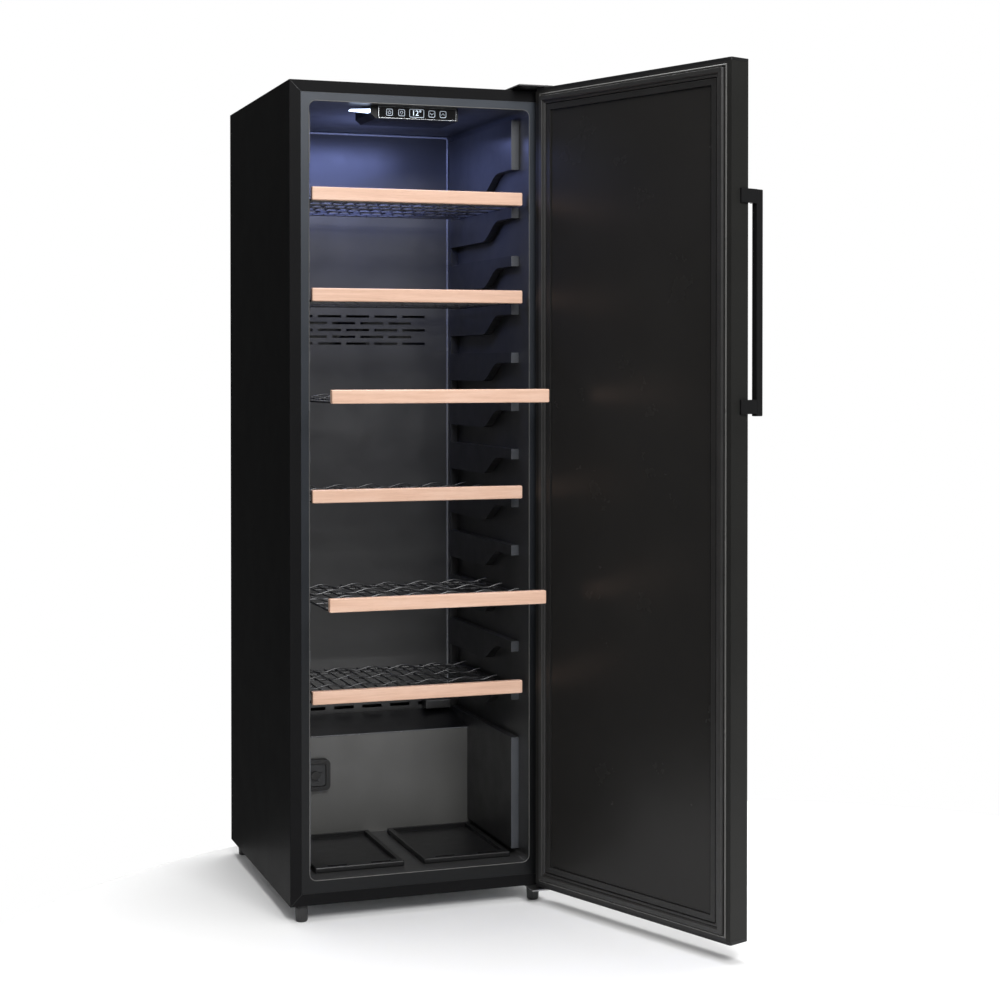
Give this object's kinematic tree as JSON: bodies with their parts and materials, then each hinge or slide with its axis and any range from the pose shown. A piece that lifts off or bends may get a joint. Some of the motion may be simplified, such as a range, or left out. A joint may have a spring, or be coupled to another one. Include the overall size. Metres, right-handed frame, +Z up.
{
  "type": "wine cooler",
  "caption": "Tall free-standing black wine cooler with a right-hinged door standing open, wire shelves with pale beech fronts, a top control panel and a bar handle.",
  "frame": {"origin": "centre of the bounding box on the floor, with the door and two shelves open as stored", "axes": "+X to the cabinet's right side as seen from its front, +Y to its back, +Z up"},
  "size_m": [0.8572, 1.2348, 1.838],
  "materials": {
    "black_steel": "black powder coat, satin",
    "door_steel": "dark grey-black powder coat, satin",
    "galvanised_steel": "galvanised sheet",
    "insulating_foam": "rigid polyurethane foam",
    "liner_plastic": "dark grey thermoformed plastic, satin",
    "door_gloss": "black, reflective",
    "gasket_rubber": "dark grey magnetic seal",
    "cap_plastic": "black moulded plastic",
    "beech": "pale beech, clear lacquer",
    "wire_black": "black coated steel wire",
    "panel_gloss": "black back-painted glass",
    "key_print": "black key caps with a light printed outline",
    "lamp_clear": "clear lamp cover, lit",
    "filter_plastic": "dark grey moulded plastic",
    "handle_black": "black powder coat",
    "zinc_steel": "zinc plated steel",
    "acetal": "natural acetal",
    "machine_black": "black enamel",
    "copper": "copper",
    "aluminium_tube": "plain tube",
    "tray_plastic": "black moulded plastic",
    "foot_plastic": "black moulded plastic"
  },
  "bodies": {
    "cabinet": {"outer_shell": "black_steel", "machine_cover": "black_steel", "back_panel": "galvanised_steel", "base_pan": "galvanised_steel", "compressor_plate": "galvanised_steel", "insulation_foam": "insulating_foam", "inner_liner": "liner_plastic", "shelf_rails_left": "liner_plastic", "shelf_rails_right": "liner_plastic", "air_duct_cover": "liner_plastic", "sensor_housing": "liner_plastic", "upper_hinge_cover": "cap_plastic", "control_housing": "cap_plastic", "terminal_box": "cap_plastic", "control_panel": "panel_gloss", "lamp_lens": "lamp_clear", "carbon_filter": "filter_plastic", "upper_hinge": "zinc_steel", "lower_hinge": "zinc_steel", "compressor": "machine_black", "condenser_coil": "machine_black", "fan_motor": "machine_black", "filter_drier": "copper", "evaporator_coil": "aluminium_tube", "bottle_tray_left": "tray_plastic", "bottle_tray_right": "tray_plastic", "evaporation_tray": "tray_plastic", "cable_gland": "foot_plastic"},
    "door": {"door_skin": "door_steel", "door_foam": "insulating_foam", "door_liner": "door_gloss", "door_gasket": "gasket_rubber", "door_top_cap": "cap_plastic", "door_bottom_cap": "cap_plastic", "hinge_bush_upper": "acetal", "hinge_bush_lower": "acetal", "handle_bar": "handle_black", "handle_bracket_upper": "handle_black", "handle_bracket_lower": "handle_black"},
    "shelf_1": {"shelf_front_1": "beech", "shelf_rack_1": "wire_black"},
    "shelf_2": {"shelf_front_2": "beech", "shelf_rack_2": "wire_black"},
    "shelf_3": {"shelf_front_3": "beech", "shelf_rack_3": "wire_black"},
    "shelf_4": {"shelf_front_4": "beech", "shelf_rack_4": "wire_black"},
    "shelf_5": {"shelf_front_5": "beech", "shelf_rack_5": "wire_black"},
    "shelf_6": {"shelf_front_6": "beech", "shelf_rack_6": "wire_black"},
    "key_power_body": {"key_power": "key_print"},
    "key_light_body": {"key_light": "key_print"},
    "key_down_body": {"key_down": "key_print"},
    "key_up_body": {"key_up": "key_print"},
    "foot_front_left_body": {"foot_front_left": "foot_plastic"},
    "foot_front_right_body": {"foot_front_right": "foot_plastic"},
    "foot_rear_left_body": {"foot_rear_left": "foot_plastic"},
    "foot_rear_right_body": {"foot_rear_right": "foot_plastic"},
    "fan": {"fan_blade": "tray_plastic"}
  },
  "joints": [
    {"name": "door_hinge", "type": "hinge", "parent": "cabinet", "child": "door", "pos_m": [0.15237, -0.06857, 0.933], "axis": [0, 0, 1], "range_deg": [-111, 7]},
    {"name": "shelf_1_slide", "type": "slide", "parent": "cabinet", "child": "shelf_1", "axis": [0, -1, 0], "range_m": [-0.06, 0.3]},
    {"name": "shelf_2_slide", "type": "slide", "parent": "cabinet", "child": "shelf_2", "axis": [0, -1, 0], "range_m": [-0.06, 0.3]},
    {"name": "shelf_4_slide", "type": "slide", "parent": "cabinet", "child": "shelf_4", "axis": [0, -1, 0], "range_m": [-0.06, 0.3]},
    {"name": "shelf_6_slide", "type": "slide", "parent": "cabinet", "child": "shelf_6", "axis": [0, -1, 0], "range_m": [-0.06, 0.3]},
    {"name": "shelf_3_slide", "type": "slide", "parent": "cabinet", "child": "shelf_3", "axis": [0, -1, 0], "range_m": [-0.232, 0.128]},
    {"name": "shelf_5_slide", "type": "slide", "parent": "cabinet", "child": "shelf_5", "axis": [0, -1, 0], "range_m": [-0.213, 0.147]},
    {"name": "key_power_press", "type": "slide", "parent": "cabinet", "child": "key_power_body", "axis": [0, 1, 0], "range_m": [0, 0.0005], "stiffness_N_per_m": 1000, "springref_m": -0.0005},
    {"name": "key_light_press", "type": "slide", "parent": "cabinet", "child": "key_light_body", "axis": [0, 1, 0], "range_m": [0, 0.0005], "stiffness_N_per_m": 1000, "springref_m": -0.0005},
    {"name": "key_down_press", "type": "slide", "parent": "cabinet", "child": "key_down_body", "axis": [0, 1, 0], "range_m": [0, 0.0005], "stiffness_N_per_m": 1000, "springref_m": -0.0005},
    {"name": "key_up_press", "type": "slide", "parent": "cabinet", "child": "key_up_body", "axis": [0, 1, 0], "range_m": [0, 0.0005], "stiffness_N_per_m": 1000, "springref_m": -0.0005},
    {"name": "foot_front_left_turn", "type": "hinge", "parent": "cabinet", "child": "foot_front_left_body", "pos_m": [-0.39963, -0.02407, 0.02], "axis": [0, 0, 1], "continuous": true},
    {"name": "foot_front_right_turn", "type": "hinge", "parent": "cabinet", "child": "foot_front_right_body", "pos_m": [0.13737, -0.02407, 0.02], "axis": [0, 0, 1], "continuous": true},
    {"name": "foot_rear_left_turn", "type": "hinge", "parent": "cabinet", "child": "foot_rear_left_body", "pos_m": [-0.39963, 0.58693, 0.02], "axis": [0, 0, 1], "continuous": true},
    {"name": "foot_rear_right_turn", "type": "hinge", "parent": "cabinet", "child": "foot_rear_right_body", "pos_m": [0.13737, 0.58693, 0.02], "axis": [0, 0, 1], "continuous": true},
    {"name": "fan_spin", "type": "hinge", "parent": "cabinet", "child": "fan", "pos_m": [-0.13113, 0.51793, 1.2996], "axis": [0, 1, 0], "continuous": true}
  ],
  "couplings": [
    {"joint": "shelf_3_slide", "follows": "door_hinge", "m_per_rad": 0.11975},
    {"joint": "shelf_5_slide", "follows": "door_hinge", "m_per_rad": 0.10995}
  ]
}
